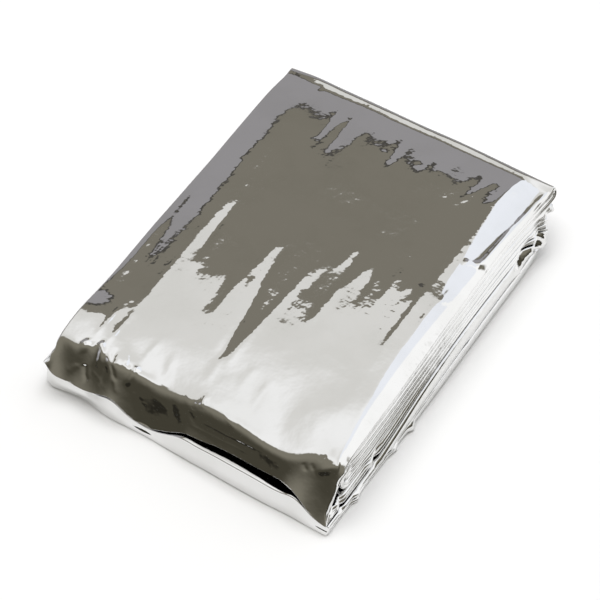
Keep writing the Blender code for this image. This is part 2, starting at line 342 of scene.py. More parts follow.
@dataclass
class RollFace:
    """The creases of the big outer fold over the front.

    Their places are X and the way round the fold: 0 where it leaves the top, and below 0 on the top.

    Attributes:
        start, end: the way round the fold over which it has creases.
        creases: those creases. Their lines, heights and widths were chosen, and another program
        turned their places into these millimetres.
    """

    start: float = -14.0
    end: float = 15.5
    creases: tuple = (
        # soft pleats over the lit band
        Ridge(((14.2, -1.4), (13.7, -6.7), (13.4, -13.3)), 0.16, 1.3, 0.3, 0.4, 0.0),
        Ridge(((7.8, -4.8), (7.5, -9.4), (8.2, -14.9)), 0.1, 1.4, 0.3, 0.4, 0.0),
        Ridge(((-1.2, -3.5), (-1.9, -7.5), (-2.7, -13.3)), 0.12, 1.2, 0.3, 0.4, 0.2),
        Ridge(((-12.5, 0.9), (-12.7, -3.2), (-14.1, -8.4)), 0.14, 1.2, 0.3, 0.4, 0.0),
        Ridge(((-20.2, -0.4), (-20.4, -5.3), (-19.8, -9.9)), 0.12, 1.1, 0.3, 0.4, 0.0),
        Ridge(((29.2, -9.3), (35.3, -4.0), (41.1, -0.4)), 0.12, 1.0, 0.3, 0.2, 0.2),
        Ridge(((25.1, -4.3), (26.6, -8.0), (29.6, -11.0)), 0.08, 1.8, 0.3, 0.4, 0.0),
        # the two curved folds on the left end, the dark hollows beside them and the small tucks
        Ridge(((-37.5, -0.2), (-36.4, 1.9), (-35.9, 3.7)), 0.6, 1.0, 0.1, 0.6, 0.1),
        Ridge(((-36.5, 7.1), (-37.1, 8.9), (-38.1, 10.4), (-39.4, 11.8)), 0.13, 1.0, 0.3, 0.3, 0.1),
        Ridge(
            ((-33.5, -0.1), (-31.8, 2.1), (-31.3, 3.6), (-31.7, 5.5), (-33.1, 8.2)),
            0.52,
            1.15,
            0.08,
            0.7,
            0.1,
        ),
        Ridge(((-35.2, 7.3), (-33.9, 10.6), (-32.4, 12.0)), -0.34, 0.6, 0.2, 0.15, 0.5),
        Ridge(((-29.1, 2.9), (-28.1, 6.1), (-27.9, 9.6), (-28.4, 11.7)), -0.22, 1.0, 0.25, 0.2, 0.2),
        Ridge(((-32.4, 8.4), (-29.7, 9.5), (-28.1, 10.9)), 0.12, 0.5, 0.2, 0.3, 0.6),
        Ridge(((-27.7, 2.0), (-26.1, 4.4), (-24.7, 8.1)), -0.3, 0.5, 0.2, 0.3, 0.6),
        Ridge(((-25.2, 7.2), (-23.6, 10.8), (-22.6, 11.9)), 0.2, 0.7, 0.3, 0.3, 0.4),
        # the white spike with the dark tuck on its left, and the streak beside it
        Ridge(((-27.3, -5.1), (-25.7, -2.6), (-24.0, 0.6), (-23.3, 2.4)), 0.24, 0.8, 0.6, 0.15, 0.4),
        Ridge(((-28.4, -1.9), (-27.9, 0.4), (-26.9, 2.2)), -0.3, 0.8, 0.3, 0.3, 0.3),
        Ridge(((-20.6, -0.1), (-20.6, 3.1), (-21.6, 8.7)), 0.42, 0.9, 0.12, 0.5, 0.1),
        # the crumpled patch
        Ridge(((-19.1, 8.1), (-17.2, 4.3), (-14.3, 2.9)), -0.05, 0.6, 0.2, 0.2, 0.5),
        Ridge(((-16.4, 2.3), (-16.7, 4.9), (-16.1, 8.3)), 0.05, 0.6, 0.2, 0.2, 0.5),
        Ridge(((-15.4, 8.5), (-14.4, 10.8), (-13.4, 11.5)), -0.08, 0.5, 0.2, 0.2, 0.7),
        Ridge(((-11.0, 7.7), (-10.8, 10.0), (-10.3, 10.7)), -0.04, 0.5, 0.2, 0.2, 0.7),
        Ridge(((-10.9, 4.0), (-8.3, 6.8), (-6.0, 10.3)), 0.04, 0.5, 0.2, 0.2, 0.6),
        Ridge(((-8.1, 1.8), (-6.4, 6.2), (-5.0, 10.8)), -0.09, 0.55, 0.15, 0.2, 0.5),
        Ridge(((-6.2, 1.8), (-4.4, 6.2), (-2.3, 11.3)), 0.1, 0.5, 0.15, 0.2, 0.5),
        Ridge(((-3.3, 2.2), (-1.2, 6.2), (1.7, 10.2)), -0.14, 0.5, 0.2, 0.3, 0.5),
        # the notch in the lit edge
        Ridge(((0.6, -1.3), (1.1, 0.9), (2.0, 2.8)), 0.34, 0.7, 0.2, 0.3, 0.3),
        Ridge(((-1.4, 0.5), (-1.7, 2.3), (-0.6, 4.4)), -0.2, 0.6, 0.3, 0.3, 0.3),
        Ridge(((6.6, 0.0), (9.1, 1.8), (13.0, 3.4)), 0.14, 0.6, 0.2, 0.3, 0.4),
        # two creases that follow the lip
        Ridge(((-0.7, 10.6), (10.3, 11.3), (20.5, 10.4)), 0.06, 0.5, 0.1, 0.2, 0.5),
        Ridge(((2.3, 7.5), (11.4, 8.1), (22.3, 5.1)), 0.05, 0.5, 0.1, 0.2, 0.5),
        # the tongue at the right end and the light notch under it
        Ridge(((37.1, 1.9), (38.9, 0.9)), -0.2, 0.6, 0.3, 0.1, 0.2),
        Ridge(((37.5, 5.4), (39.9, 3.5), (43.5, 1.5)), 0.45, 1.0, 0.4, 0.05, 0.2),
        Ridge(((33.8, 3.6), (35.6, 6.9)), -0.2, 0.6, 0.3, 0.3, 0.5),
        Ridge(((35.9, 3.5), (37.4, 5.2)), -0.16, 0.5, 0.3, 0.3, 0.5),
    )

    def height(self, x: Array, around: Array) -> Array:
        """How far the film stands out: the sum of its creases.

        Args:
            x: places across the pack.
            around: places round the fold.

        Returns:
            How far it stands out at each of them.
        """
        high = np.zeros(np.shape(x))
        for crease in self.creases:
            high = high + crease.rise(x, around)
        return high


# --------------------------------------------------------------------------- the sheet's way


@dataclass(frozen=True)
class Stretch:
    """A layer, or a piece of one.

    Attributes:
        layer: which layer.
        start, end: where it runs from and to along Y.
        step: how far apart its stations are.
        fine: whether the mesh is fine there.
        dense_back, dense_front: places past which a coarse layer has its stations closer together.
        dense: how many times closer.
    """

    layer: int
    start: float
    end: float
    step: float
    fine: bool = False
    dense_back: float = 36.0
    dense_front: float = -20.0
    dense: float = 2.0
    SAMPLES = 2001

    def stations(self) -> Array:
        """Its stations, up to just before its end.

        Returns:
            Rows of a place along Y, a level, and 1 where the mesh is fine.
        """
        run = np.linspace(self.start, self.end, self.SAMPLES)
        at_ends = (run > self.dense_back) | (run < self.dense_front)
        closer = np.where(at_ends & (not self.fine), self.dense, 1.0)
        passed = np.cumsum(np.abs(np.gradient(run)) * closer / self.step)
        passed -= passed[0]
        count = int(np.ceil(passed[-1]))
        y = np.interp(np.arange(count) * passed[-1] / count, passed, run)
        return np.column_stack([y, np.full(count, self.layer), np.full(count, self.fine)])


@dataclass(frozen=True)
class Turn:
    """A fold that joins two layers in the even stack.

    Attributes:
        start, end: the layers.
        centre: where the layers end along Y.
        steps: how many stations it has.
        fine: whether the mesh is fine there.
    """

    start: int
    end: int
    centre: float
    steps: int
    fine: bool = False

    def stations(self) -> Array:
        """Its stations, from one layer to the other round a half circle.

        Returns:
            Rows as a stretch gives them.
        """
        angle = np.linspace(0, np.pi, self.steps + 1)[:-1]
        reach = abs(self.end - self.start) / 2 * Ribbon.PITCH * np.sin(angle)
        level = (self.start + self.end) / 2 + (self.start - self.end) / 2 * np.cos(angle)
        y = self.centre + np.sign(self.centre) * reach
        return np.column_stack([y, level, np.full(self.steps, self.fine)])


@dataclass(frozen=True)
class LippedTurn:
    """A fold whose outer face has a sharp lip, in the even stack.

    Attributes:
        centre: where its layers end along Y.
        under, over: (reach, level) points of its outer face, up to the lip and on from there.
        steps: how many stations each of the two has.
        near: how far from the lip its extra stations are, in millimetres.
        thin: the film's share of its thickness at the lip.
        thin_reach: how far from the lip it gets its whole thickness back, in millimetres.
    """

    centre: float
    under: tuple
    over: tuple
    steps: tuple = (6, 42)
    near: tuple = (0.07, 0.18, 0.36)
    thin: float = 0.04
    thin_reach: float = 2.6
    SAMPLES = 400

    def run(self, points: tuple) -> tuple:
        """Reads a spline through some points of the outer face.

        Args:
            points: (reach, level) points.

        Returns:
            Lengths along it, and its places along Y and its heights at them.
        """
        reach, high = np.array(points, float).T
        high = high * Ribbon.PITCH
        rough = np.concatenate([[0], np.cumsum(np.hypot(np.diff(reach), np.diff(high)))])
        dense = np.linspace(0, rough[-1], self.SAMPLES)
        reach, high = spline(rough, reach, dense), spline(rough, high, dense)
        length = np.concatenate([[0], np.cumsum(np.hypot(np.diff(reach), np.diff(high)))])
        return length, self.centre - reach, high

    def stations(self) -> Array:
        """Its stations. The inner face is a thickness away, square to the outer one, and the film gets
        thin at the lip.

        Returns:
            Rows as a stretch gives them, each with its point on the outer face and on the inner one.
        """
        places, aheads, parts = [], [], []
        for points, steps, from_lip in ((self.under, self.steps[0], False), (self.over, self.steps[1], True)):
            length, y, high = self.run(points)
            apart = np.concatenate([[0.0], self.near, np.linspace(self.near[-1], length[-1], steps + 1)[1:]])
            apart = apart[:-1] if from_lip else apart[:0:-1]
            at = apart if from_lip else length[-1] - apart
            places.append(np.column_stack([np.interp(at, length, y), np.interp(at, length, high)]))
            slopes = np.gradient(y, length), np.gradient(high, length)
            aheads.append(np.column_stack([np.interp(at, length, slope) for slope in slopes]))
            parts.append(apart)
        place, ahead, apart = np.vstack(places), np.vstack(aheads), np.concatenate(parts)
        lip = int(np.argmin(apart))
        ahead[lip] = ahead[lip - 1] + ahead[lip + 1]
        ahead /= np.linalg.norm(ahead, axis=1)[:, None]
        share = self.thin + (1 - self.thin) * ramp(apart, 0.0, self.thin_reach)
        inner = place + np.column_stack([ahead[:, 1], -ahead[:, 0]]) * Ribbon.thickness * share[:, None]
        rows = np.column_stack([(place + inner) / 2, np.ones(len(place)), place, inner])
        rows[:, [1, 4, 6]] /= Ribbon.PITCH
        return rows


# the outer fold's outer face: (reach, level) points up to its lip, and from the lip on to the top
FOLD_UNDER = ((0, 2.64), (2.4, 2.64), (4.8, 2.64), (6.2, 2.66), (6.85, 2.7))
FOLD_OVER = (
    (6.85, 2.7), (6.2, 3.53), (5.6, 4.28), (5.0, 5.02), (4.4, 5.75), (3.8, 6.46), (3.16, 7.15),
    (2.45, 7.74), (1.7, 8.1), (0.85, 8.29), (0, 8.36),
)


@dataclass
class Ribbon:
    """The folded strip as a closed ribbon round one path, in the even stack.

    Attributes:
        PITCH: how far apart two layers are there, which is one level.
        LOW, UPPER: the first and last layer of the low bundle and of the one on top of it.
        LOW_FOLD, OUTER_FOLD: where the layers of the two front folds end along Y.
        COARSE, FINE: how far apart stations are where the mesh is coarse and where it is fine.
        thickness: how thick a layer is there.
        path: the sheet's way, from its free end at the bottom to the one inside.
        columns: shares of the width, each with how many coarse columns lead up to it.
        finer: how many columns the shown layers have for each coarse one.
        lobe: places across an edge, as shares of its thickness.
    """

    PITCH = 2.0
    LOW = (1, 2)
    UPPER = (3, 8)
    LOW_FOLD = -57.9
    OUTER_FOLD = -48.0
    COARSE = 3.2
    FINE = 0.8
    thickness: float = 1.44
    path: tuple = (
        Stretch(1, 50, -49, COARSE),
        Stretch(1, -49, LOW_FOLD, FINE, True),
        Turn(1, 2, LOW_FOLD, 18, True),
        Stretch(2, LOW_FOLD, -47, 0.7, True),
        Stretch(2, -47, 54.4, COARSE),
        Turn(2, 3, 54.4, 8),
        Stretch(3, 54.4, -40, COARSE),
        Stretch(3, -40, OUTER_FOLD, FINE, True),
        LippedTurn(OUTER_FOLD, FOLD_UNDER, FOLD_OVER),
        Stretch(8, OUTER_FOLD, 60.2, FINE, True),
        Turn(8, 7, 60.2, 9, True),
        Stretch(7, 60.2, 57, FINE, True),
        Stretch(7, 57, -43, COARSE),
        Turn(7, 4, -43, 12),
        Stretch(4, -43, 57.6, COARSE),
        Turn(4, 5, 57.6, 6),
        Stretch(5, 57.6, -43, COARSE),
        Turn(5, 6, -43, 6),
        Stretch(6, -43, 58.8, COARSE),
    )
    columns: tuple = ((0.0, 0), (0.012, 2), (0.04, 2), (0.32, 9), (0.88, 10), (0.96, 3), (0.988, 2), (1.0, 2))
    finer: int = 7
    lobe: tuple = (0.03, 0.14, 0.27, 0.4, 0.5, 0.6, 0.73, 0.86, 0.97)

    def stations(self) -> Array:
        """Every station of the path, its far end included.

        Returns:
            Rows of a place along Y, a level and 1 where the mesh is fine, and then the outer face's own
            place and level and the inner face's, which are not-a-number where the part gives none.
        """
        last = self.path[-1]
        rows = [part.stations() for part in self.path] + [np.array([[last.end, last.layer, last.fine]])]
        full = np.full((sum(map(len, rows)), 7), np.nan)
        start = 0
        for part in rows:
            full[start : start + len(part), : part.shape[1]] = part
            start += len(part)
        return full

    def coarse_shares(self) -> Array:
        """Places of the coarse columns, which are close together near the edges.

        Returns:
            Shares of the width, from 0 on the left to 1.
        """
        runs = [
            np.linspace(start, end, count + 1)[1:]
            for (start, _), (end, count) in zip(self.columns, self.columns[1:])
        ]
        return np.concatenate([[0.0], *runs])

    def fine_shares(self) -> Array:
        """Places of the fine columns: each gap between coarse ones, cut evenly.

        Returns:
            Shares of the width, from 0 on the left to 1.
        """
        coarse = self.coarse_shares()
        at = np.arange((len(coarse) - 1) * self.finer + 1) / self.finer
        return np.interp(at, np.arange(len(coarse)), coarse)

    def faces(self, rows: Array) -> tuple:
        """The two faces of the sheet in the even stack: the middle line, moved half a thickness to each
        side along the mitre of its two directions there, or the row's own points where it has them.

        Args:
            rows: the path's stations.

        Returns:
            Rows of a place along Y and a level for the first face, and for the second one.
        """
        flat = rows[:, :2] * (1.0, self.PITCH)
        ahead = np.diff(flat, axis=0)
        ahead /= np.linalg.norm(ahead, axis=1)[:, None]
        before, after = np.vstack([ahead[:1], ahead]), np.vstack([ahead, ahead[-1:]])
        along = before + after
        along /= np.linalg.norm(along, axis=1)[:, None]
        mitre = (along * before).sum(1)[:, None]
        aside = np.column_stack([-along[:, 1], along[:, 0]]) * self.thickness / 2 / mitre
        first, second = (flat + aside) / (1.0, self.PITCH), (flat - aside) / (1.0, self.PITCH)
        own = ~np.isnan(rows[:, 3])
        first[own], second[own] = rows[own, 3:5], rows[own, 5:7]
        return first, second


# --------------------------------------------------------------------------- the pack


@dataclass
class Pack:
    """Takes a point of the even stack to its real place in the folded pack.

    Attributes:
        top, roll: the top face and the outer fold's creases.
        edge_rows: places along Y at which the edges are given.
        right_edges, left_edges: rows of a layer and its edge at each of those places.
        low_rows: rows of a place along Y and the low bundle's height there, in the middle and on the right.
        gap: height of the gap between the two bundles.
        front: rows of X, the low fold's reach and height, the gap over it, the outer fold's reach and lean.
            A fit in another program gave the last two, in all rows but the first four.
        front_start, front_end: where the front's own sizes begin to count and where they count in full.
        crumples: creases of the right side, over Y and height: the back corner's, then small tips and dents.
        crumple_start, crumple_full: where across the pack they begin to count and where they count in full.
        back_reach: rows of X and how far the layers' back edges lie past their even place.
        back_start, back_full: where along Y that begins to count and where it counts in full.
        side_start, side_full: where across the pack the low bundle gets its height on the right side.
        low_lean: how much further the low fold's top reaches than its foot, halved.
        low_square: how round the low fold's front is: 1 for a half circle, towards 0 for a flat one.
        outer_even_reach: how far the outer fold reaches past its layers' ends in the even stack.
        low_middle, split, outer_middle: the low fold's middle level, the level between the two bundles and
            the outer fold's middle level.
        outer_levels: half the levels that the outer fold takes in.
        roll_inner, roll_outer: distances from the outer fold's middle between which its creases set in.
        roll_foot: how far under that middle its creases end.
    """

    top: TopFace = field(default_factory=TopFace)
    roll: RollFace = field(default_factory=RollFace)
    edge_rows: tuple = (-54, -10, 30, 52, 60)
    right_edges: tuple = (
        (1, (45.9, 46.1, 45.4, 44.8, 44.2)),
        (2, (45.9, 46.1, 45.4, 44.8, 44.2)),
        (3, (45.2, 44.4, 43.9, 44.3, 44.5)),
        (4, (44.0, 44.2, 43.5, 43.9, 44.6)),
        (5, (43.8, 43.8, 43.0, 43.5, 44.5)),
        (6, (43.8, 43.6, 42.8, 43.3, 44.3)),
        (7, (43.9, 43.3, 42.4, 42.7, 43.6)),
        (8, (44.8, 43.3, 42.2, 42.3, 42.8)),
    )
    left_edges: tuple = (
        (1, (-45.4, -45.6, -45.6, -45.4, -45.4)),
        (2, (-45.3, -45.5, -45.4, -45.2, -45.2)),
        (3, (-44.6, -45.2, -45.3, -45.3, -45.3)),
        (4, (-44.1, -44.4, -44.5, -44.6, -44.5)),
        (5, (-44.4, -44.8, -45.0, -44.9, -44.9)),
        (6, (-44.1, -44.3, -44.4, -44.5, -44.4)),
        (7, (-44.4, -44.8, -44.9, -45.0, -44.9)),
        (8, (-44.3, -44.5, -44.5, -44.6, -44.5)),
    )
    low_rows: tuple = (
        (61, 6.3, 8.4),
        (30, 6.1, 8.8),
        (0, 5.7, 8.6),
        (-12, 5.4, 7.4),
        (-23, 5.1, 5.4),
        (-34, 4.8, 3.4),
        (-50, 4.2, 2.2),
    )
    gap: float = 0.6
    front: tuple = (
        (-46.0, -58.6, 10.0, 1.1, -60.0, 1.4),
        (-44.2, -59.7, 8.6, 1.1, -60.3, 1.4),
        (-43.0, -60.0, 7.0, 1.2, -60.5, 1.4),
        (-41.0, -59.8, 5.0, 2.0, -60.7, 1.2),
        (-38.0, -59.4, 4.0, 2.2, -60.6, 0.7),
        (-34.0, -59.1, 3.7, 2.3, -59.6, 1.6),
        (-28.0, -60.1, 5.2, 2.0, -60.3, 0.8),
        (-23.6, -60.6, 6.6, 1.1, -60.0, 0.8),
        (-19.4, -60.5, 4.0, 1.2, -60.0, 0.9),
        (-15.4, -60.4, 2.6, 1.0, -60.2, 0.8),
        (-11.4, -60.4, 2.5, 1.0, -60.3, 0.6),
        (-8.0, -60.6, 3.6, 1.0, -60.1, 0.5),
        (-4.8, -60.8, 5.2, 0.6, -59.8, 0.4),
        (-1.0, -61.0, 6.8, 0.8, -59.5, 0.3),
        (3.4, -61.2, 6.9, 1.1, -59.4, 0.3),
        (8.0, -61.3, 7.0, 1.5, -59.4, 0.1),
        (14.4, -61.6, 7.2, 1.7, -59.6, -0.1),
        (21.0, -61.8, 7.2, 1.9, -60.2, -0.4),
        (27.0, -61.9, 6.9, 2.4, -60.5, -0.5),
        (31.4, -61.8, 6.9, 2.5, -60.3, 0.0),
        (35.0, -61.8, 7.4, 1.1, -59.7, 1.3),
        (37.6, -61.9, 6.2, 0.8, -59.8, 1.8),
        (41.0, -62.0, 3.6, 0.8, -60.1, 2.1),
        (46.0, -62.0, 2.6, 0.8, -60.2, 2.5),
    )
    crumples: tuple = (
        Ridge(((58.0, 11.5), (54.5, 6.5), (51.0, 1.5)), -1.9, 1.2, 0.1, 0.2, 0.4),
        Ridge(((55.0, 10.5), (52.0, 6.5), (48.5, 3.0)), 1.2, 1.0, 0.2, 0.2, 0.4),
        Ridge(((55.5, 12.5), (52.0, 8.5), (49.5, 4.5)), 1.3, 1.3, 0.1, 0.1, 0.4),
        Ridge(((53.0, 9.6), (46.0, 5.5)), -1.7, 1.0, 0.2, 0.2, 0.4),
        Ridge(((50.0, 10.5), (43.0, 6.5)), 1.1, 0.9, 0.2, 0.2, 0.4),
        Ridge(((46.0, 9.5), (41.5, 8.6), (36.0, 6.5)), -1.5, 1.0, 0.2, 0.3, 0.4),
        Ridge(((40.5, 5.5), (36.5, 5.0)), 0.6, 0.8, 0.3, 0.3, 0.4),
        Ridge(((11.6, 4.0), (10.4, 5.2)), 0.9, 0.9, 0.2, 0.2, 0.4),
        Ridge(((-20.4, 0.4), (-21.4, 2.0)), 1.2, 0.9, 0.0, 0.2, 0.4),
        Ridge(((-29.0, 0.6), (-30.6, 2.4)), 1.0, 0.9, 0.0, 0.2, 0.4),
        Ridge(((-33.6, 7.0), (-36.0, 4.6), (-38.6, 2.4)), -1.0, 0.8, 0.2, 0.2, 0.4),
        Ridge(((-36.0, 8.0), (-40.0, 4.0)), 0.7, 0.8, 0.2, 0.2, 0.4),
        Ridge(((-45.5, 13.5), (-47.5, 8.0)), -0.9, 0.8, 0.2, 0.2, 0.4),
        Ridge(((-46.6, 2.4), (-48.6, 0.4)), 1.0, 0.9, 0.2, 0.0, 0.4),
        Ridge(((-50.8, 15.6), (-55.2, 11.0), (-59.8, 4.6)), 0.9, 0.5, 0.1, 0.15, 0.4),
        Ridge(((-49.4, 14.4), (-53.6, 9.6), (-58.0, 3.4)), -0.9, 0.5, 0.1, 0.15, 0.4),
        Ridge(((-52.5, 6.0), (-55.0, 2.0)), -0.8, 0.7, 0.2, 0.2, 0.4),
    )
    front_start: float = -24.0
    front_end: float = -46.0
    crumple_start: float = 40.0
    crumple_full: float = 43.0
    back_reach: tuple = ((-46, 1.9), (-25, 1.6), (-8, 1.1), (10, 1.0), (31, 0.7), (41, 0.4), (46, 0.2))
    back_start: float = 30.0
    back_full: float = 61.0
    side_start: float = 36.0
    side_full: float = 44.0
    low_lean: float = 0.6
    low_square: float = 0.17
    outer_even_reach: float = 7.57
    low_middle: float = sum(Ribbon.LOW) / 2
    split: float = (Ribbon.LOW[1] + Ribbon.UPPER[0]) / 2
    outer_middle: float = sum(Ribbon.UPPER) / 2
    outer_levels: float = (Ribbon.UPPER[1] - Ribbon.UPPER[0]) / 2
    roll_inner: float = 3.0
    roll_outer: float = 4.2
    roll_foot: float = 5.8

    def edges(self, y: Array, level: Array) -> tuple:
        """Left and right edge of the sheet: a spline over the layers of splines along Y.

        Args:
            y, level: places in the even stack.

        Returns:
            The left edge's X and the right edge's at each of them.
        """
        along = spline_weights(self.edge_rows, y)
        over = spline_weights([row[0] for row in self.right_edges], level)
        return tuple(
            ((over @ np.array([row[1] for row in table])) * along).sum(1)
            for table in (self.left_edges, self.right_edges)
        )

    def square_up(self, y: Array, level: Array) -> tuple:
        """Turns the low fold's round end into a flat front: each share of the radius that a point has
        along Y and along Z is raised to a small power.

        Args:
            y, level: places in the even stack.

        Returns:
            The new places.
        """
        out = np.where(level < self.split, np.maximum(Ribbon.LOW_FOLD - y, 0.0), 0.0)
        rise = (level - self.low_middle) * Ribbon.PITCH
        radius = np.maximum(np.hypot(out, rise), TINY)
        new_y = y + out - radius * (out / radius) ** self.low_square
        new_rise = radius * np.sign(rise) * (np.abs(rise) / radius) ** self.low_square
        turned = out > 0
        return np.where(turned, new_y, y), np.where(turned, self.low_middle + new_rise / Ribbon.PITCH, level)

    def crease_roll(self, x: Array, y: Array, level: Array) -> tuple:
        """Moves the outer fold's own layer out and in by its creases, away from and towards the fold's
        middle line. The way round the fold is the angle there times its even radius.

        Args:
            x, y, level: places in the even stack.

        Returns:
            The new places along Y and the new levels.
        """
        out, rise = np.maximum(Ribbon.OUTER_FOLD - y, 0.0), (level - self.outer_middle) * Ribbon.PITCH
        radius = np.maximum(np.hypot(out, rise), TINY)
        even = self.outer_levels * Ribbon.PITCH + Ribbon.thickness / 2
        around = np.where(y < Ribbon.OUTER_FOLD, np.arctan2(out, rise) * even, Ribbon.OUTER_FOLD - y)
        near = (radius > self.roll_inner) & (rise > -self.roll_foot)
        near &= (around > self.roll.start) & (around < self.roll.end)
        move = np.zeros_like(x)
        move[near] = self.roll.height(x[near], around[near])
        move[near] *= ramp(radius[near], self.roll_inner, self.roll_outer)
        share = 1 + move / radius
        new_y = np.where(out > 0, Ribbon.OUTER_FOLD - out * share, y)
        return new_y, np.where(near, self.outer_middle + rise * share / Ribbon.PITCH, level)

    def press(self, x: Array, y: Array, level: Array) -> Array:
        """Real places of points of the even stack.

        Along Y the two front folds move to their own reach and lean. The height runs in three even
        stretches: the low bundle, the gap over it, and the bundle on top.

        Args:
            x: places across the pack.
            y, level: places in the even stack.

        Returns:
            Rows of X, Y and Z.
        """
        half = Ribbon.thickness / 2 / Ribbon.PITCH
        floor, low_roof = Ribbon.LOW[0] - half, Ribbon.LOW[1] + half
        upper_floor, roof = Ribbon.UPPER[0] - half, Ribbon.UPPER[1] + half
        front = ramp(y, self.front_start, self.front_end)
        upper = level > self.split
        reach = spline_weights([row[0] for row in self.front], x) @ np.array([row[1:] for row in self.front])
        low_y, low_front, gap_front, outer_y, outer_lean = reach.T
        y, level = self.crease_roll(x, *self.square_up(y, level))
        low_reach = Ribbon.LOW_FOLD - Ribbon.PITCH / 2 - Ribbon.thickness / 2
        outer_reach = Ribbon.OUTER_FOLD - self.outer_even_reach
        out = front * np.where(upper, outer_y - outer_reach, low_y - low_reach)
        outer_tilt = (level - self.outer_middle) / self.outer_levels
        low_tilt = np.clip((level - self.low_middle) * 2, -1, 1)
        new_y = y + out + front * np.where(upper, outer_lean * outer_tilt, self.low_lean * low_tilt)
        new_y = new_y + spline(*zip(*self.back_reach), x) * ramp(y, self.back_start, self.back_full)

        weights = spline_weights([row[0] for row in self.low_rows], y)
        middle, right = (weights @ np.array([row[1:] for row in self.low_rows])).T
        low = middle + ramp(x, self.side_start, self.side_full) * (right - middle)
        low = low + front * (low_front - low) * np.where(x > self.crumple_start, front, 1.0)
        gap = self.gap + front**2 * (gap_front - self.gap)
        in_low = np.clip((level - floor) / (low_roof - floor), 0, 1)
        in_gap = np.clip((level - low_roof) / (upper_floor - low_roof), 0, 1)
        in_upper = np.maximum((level - upper_floor) / (roof - upper_floor), 0)
        height = low * in_low + gap * in_gap + (self.top.height(x, new_y) - low - gap) * in_upper
        return np.column_stack([x, new_y, height])

    def crumple_side(self, points: Array) -> Array:
        """Moves the right side's points out and in by its crumples, less and less towards the middle.

        Args:
            points: rows of X, Y and Z.

        Returns:
            The moved rows.
        """
        x, y, z = np.moveaxis(points, -1, 0)
        near = x > self.crumple_start
        moved = points.copy()
        move = sum(crumple.rise(y[near], z[near]) for crumple in self.crumples)
        moved[near, 0] += move * ramp(x[near], self.crumple_start, self.crumple_full)
        return moved


# --------------------------------------------------------------------------- the blanket's mesh


